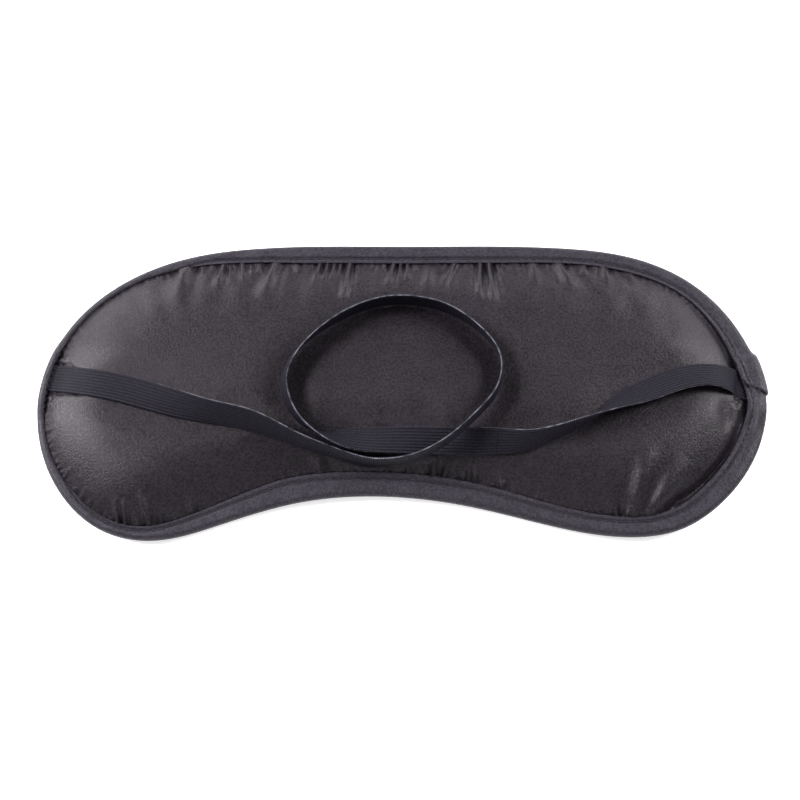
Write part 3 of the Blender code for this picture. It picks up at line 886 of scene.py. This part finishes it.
class Nodes:
    """A short way to write a node tree."""

    def __init__(self, name):
        self.material = bpy.data.materials.new(name)
        self.material.use_nodes = True
        self.tree = self.material.node_tree
        self.shader = self.tree.nodes["Principled BSDF"]

    def add(self, kind, inputs=None, **settings):
        node = self.tree.nodes.new(kind)
        for name, value in settings.items():
            setattr(node, name, value)
        for key, value in (inputs or {}).items():
            if isinstance(value, bpy.types.NodeSocket):
                self.tree.links.new(value, node.inputs[key])
            else:
                node.inputs[key].default_value = value
        return node

    def math(self, operation, a, b=0.0, c=0.0):
        return self.add("ShaderNodeMath", {0: a, 1: b, 2: c}, operation=operation).outputs[0]

    def noise(self, vector, scale, detail=3.0, rough=0.5):
        node = self.add(
            "ShaderNodeTexNoise", {"Vector": vector, "Scale": scale, "Detail": detail, "Roughness": rough}
        )
        return node.outputs["Fac"]

    def mix(self, factor, a, b):
        node = self.add("ShaderNodeMix", data_type="RGBA")
        for socket, value in ((node.inputs[0], factor), (node.inputs[6], a), (node.inputs[7], b)):
            if isinstance(value, bpy.types.NodeSocket):
                self.tree.links.new(value, socket)
            else:
                socket.default_value = value
        return node.outputs[2]

    def ramp(self, value, low, high):
        node = self.add("ShaderNodeMapRange", {0: value, 1: low, 2: high, 3: 0.0, 4: 1.0}, clamp=True)
        return node.outputs[0]

    def finish(self, colour, roughness, height, depth, strength=1.0):
        bump = self.add("ShaderNodeBump", {"Height": height, "Distance": depth, "Strength": strength})
        links = ((colour, "Base Color"), (roughness, "Roughness"), (bump.outputs[0], "Normal"))
        for value, name in links:
            if isinstance(value, bpy.types.NodeSocket):
                self.tree.links.new(value, self.shader.inputs[name])
            else:
                self.shader.inputs[name].default_value = value
        return self.material


MADE = {}


def satin(name, tape=False):
    """Black polyester satin: twill lines and grain, a soft gloss, uneven tone and a little lint."""
    if name in MADE:
        return MADE[name]
    n = Nodes(name)
    where = n.add("ShaderNodeTexCoord").outputs["Object"]
    split = n.add("ShaderNodeSeparateXYZ", {0: where}).outputs
    wander = n.noise(where, 300.0, 2.0)
    slant = n.math("ADD", n.math("MULTIPLY", split[0], 0.78), n.math("MULTIPLY", split[1], -0.62))
    slant = n.math("ADD", slant, n.math("MULTIPLY", wander, 0.0010))
    twill = n.math("SINE", n.math("MULTIPLY", slant, 2 * math.pi / TWILL_PITCH))
    twill = n.math("MULTIPLY_ADD", twill, 0.5, 0.5)
    grain = n.ramp(n.noise(where, 1600.0, 2.0, 0.8), 0.43, 0.60)
    patchy = n.ramp(n.noise(where, 160.0, 2.0), 0.35, 0.65)
    twill = n.math("MULTIPLY", twill, n.math("MULTIPLY_ADD", patchy, 0.6, 0.4))
    height = n.math("ADD", n.math("MULTIPLY", twill, 0.5), grain)
    tone = n.noise(where, 45.0, 4.0)
    weave = n.math("ADD", n.math("MULTIPLY", twill, 0.28), n.math("MULTIPLY", grain, 0.72))
    shade = n.math("ADD", n.math("MULTIPLY", tone, 0.15), n.math("MULTIPLY", weave, 0.85))
    cloth = n.mix(shade, *(TAPE_SHADES if tape else SATIN_SHADES))
    speck = n.add("ShaderNodeTexVoronoi", {"Vector": where, "Scale": 420.0})
    chance = n.add("ShaderNodeSeparateColor", {0: speck.outputs["Color"]}).outputs[0]
    few = n.math("GREATER_THAN", chance, 0.90)
    lint = n.math("MULTIPLY", n.math("LESS_THAN", speck.outputs["Distance"], 0.05), few)
    colour = n.mix(n.math("MULTIPLY", lint, 0.5), cloth, LINT)
    rough = n.add("ShaderNodeMapRange", {0: weave, 1: 0.0, 2: 1.0, 3: 0.41, 4: 0.30}).outputs[0]
    inputs = n.shader.inputs
    inputs["Specular IOR Level"].default_value = 0.17 if tape else 0.24
    inputs["Specular Tint"].default_value = (1.0, 0.95, 1.0, 1.0)
    inputs["Sheen Weight"].default_value = 0.03
    inputs["Sheen Roughness"].default_value = 0.35
    inputs["Sheen Tint"].default_value = (0.86, 0.82, 1.0, 1.0)
    MADE[name] = n.finish(colour, rough, height, 0.00007, 0.58)
    return MADE[name]


def thread_material(name, lightness):
    """Twisted sewing thread."""
    if name not in MADE:
        n = Nodes(name)
        where = n.add("ShaderNodeTexCoord").outputs["Object"]
        split = n.add("ShaderNodeSeparateXYZ", {0: where}).outputs
        twist = n.math("SINE", n.math("MULTIPLY", n.math("ADD", split[0], split[1]), 2 * math.pi / 0.0004))
        dark = (0.006 * lightness, 0.005 * lightness, 0.007 * lightness, 1)
        light = (0.026 * lightness, 0.023 * lightness, 0.029 * lightness, 1)
        colour = n.mix(n.math("MULTIPLY_ADD", twist, 0.5, 0.5), dark, light)
        n.shader.inputs["Specular IOR Level"].default_value = 0.25
        MADE[name] = n.finish(colour, 0.6, twist, 0.00005, 0.5)
    return MADE[name]


def elastic():
    """Braided elastic: ribs with rows of tiny loops, painted shade in the grooves between the ribs, and a
    bright dotted line on each edge that is partly thread and partly painted highlight.
    """
    if "elastic" in MADE:
        return MADE["elastic"]
    n = Nodes("braided_elastic")
    uv = n.add("ShaderNodeUVMap", uv_map="strap").outputs[0]
    split = n.add("ShaderNodeSeparateXYZ", {0: uv}).outputs
    along = n.math("MULTIPLY", split[0], 10.0)
    across = split[1]
    rib = n.math("MULTIPLY", n.math("ADD", across, 1.0), math.pi * RIBS / 2)
    rib = n.math("ABSOLUTE", n.math("SINE", rib))
    lean = n.math("MULTIPLY", rib, 1.6)
    loops = n.math("SINE", n.math("ADD", n.math("MULTIPLY", along, 2 * math.pi / 0.58), lean))
    where = n.add("ShaderNodeTexCoord").outputs["Object"]
    grain = n.ramp(n.noise(where, 1900.0, 2.0, 0.7), 0.3, 0.7)
    # The edges are painted light: partly a bead of lighter thread, partly a painted highlight where the
    # edges catch the light
    edge = n.ramp(n.math("ABSOLUTE", across), 0.982, 0.998)
    thread_and_glint_dots = n.math("MULTIPLY_ADD", n.math("SINE", n.math("MULTIPLY", along, 2 * math.pi / 0.62)), 0.2, 0.2)
    thread_and_glint_dots = n.math("ADD", thread_and_glint_dots, n.math("MULTIPLY_ADD", n.noise(where, 500.0, 2.0), 1.6, -0.6))
    # Painted shade: the colour falls to nearly black in the grooves between the ribs
    shade = n.math("MULTIPLY", n.math("MULTIPLY_ADD", loops, 0.16, 0.45), n.math("POWER", rib, 1.6))
    shade = n.math("MULTIPLY", shade, n.math("MULTIPLY_ADD", grain, 1.1, 0.45))
    body = n.mix(shade, *ELASTIC_SHADES)
    thread_and_highlight = n.mix(n.ramp(thread_and_glint_dots, 0.15, 0.95), *EDGE_THREAD_AND_HIGHLIGHT_SHADES)
    colour = n.mix(edge, body, thread_and_highlight)
    height = n.math("ADD", n.math("MULTIPLY", loops, 0.4), n.math("MULTIPLY", grain, 0.8))
    n.shader.inputs["Specular IOR Level"].default_value = 0.13
    MADE["elastic"] = n.finish(colour, 0.6, height, 0.00010, 0.8)
    return MADE["elastic"]


def plain_material(name, shades, rough, scale):
    """An even, finely grained surface for a piece inside the mask."""
    n = Nodes(name)
    where = n.add("ShaderNodeTexCoord").outputs["Object"]
    grain = n.noise(where, scale, 4.0, 0.6)
    return n.finish(n.mix(grain, *shades), rough, grain, 0.0002)


def dress_hidden_nodes():
    looks = {
        "foam_pad": plain_material("foam", FOAM_SHADES, 0.95, 1500.0),
        "blackout_lining": plain_material("lining", LINING_SHADES, 0.85, 2500.0),
    }
    for name, look in looks.items():
        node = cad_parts[name]
        node.data.materials.clear()
        node.data.materials.append(look)


# ---------------------------------------------------------------- stage


def area_light(name, place, width, height, power):
    """A soft box that faces the middle of the mask."""
    data = bpy.data.lights.new(name, "AREA")
    data.shape = "RECTANGLE"
    data.size, data.size_y = width, height
    data.energy = power
    light = bpy.data.objects.new(name, data)
    light.location = place
    away = np.array(place) / np.linalg.norm(place)
    light.rotation_euler = (math.acos(away[2]), 0, math.atan2(away[1], away[0]) + math.pi / 2)
    bpy.context.collection.objects.link(light)


def add_stage():
    corners = [(x * FLOOR_HALF, y * FLOOR_HALF, 0) for x, y in ((-1, -1), (1, -1), (1, 1), (-1, 1))]
    floor = mesh_object("floor", corners, [[0, 1, 2, 3]])
    n = Nodes("floor_paper")
    where = n.add("ShaderNodeTexCoord").outputs["Object"]
    grain = n.noise(where, 900.0, 3.0)
    n.shader.inputs["Emission Color"].default_value = (1.0, 1.0, 1.0, 1.0)
    n.shader.inputs["Emission Strength"].default_value = FLOOR_GLOW
    paper = n.mix(grain, *PAPER_SHADES)
    floor.data.materials.append(n.finish(paper, 0.8, grain, 0.00002))
    world = bpy.data.worlds.new("studio")
    bpy.context.scene.world = world
    world.use_nodes = True
    world.node_tree.nodes["Background"].inputs[0].default_value = (1.0, 0.99, 1.0, 1)
    world.node_tree.nodes["Background"].inputs[1].default_value = WORLD_LIGHT
    for light in LIGHTS:
        area_light(*light)
    scene = bpy.context.scene
    scene.view_settings.view_transform = "Standard"
    scene.view_settings.look = "None"


add_camera()
add_strap()
add_covers()
add_binding()
add_stitches()
add_tack_threads()
dress_hidden_nodes()
add_stage()
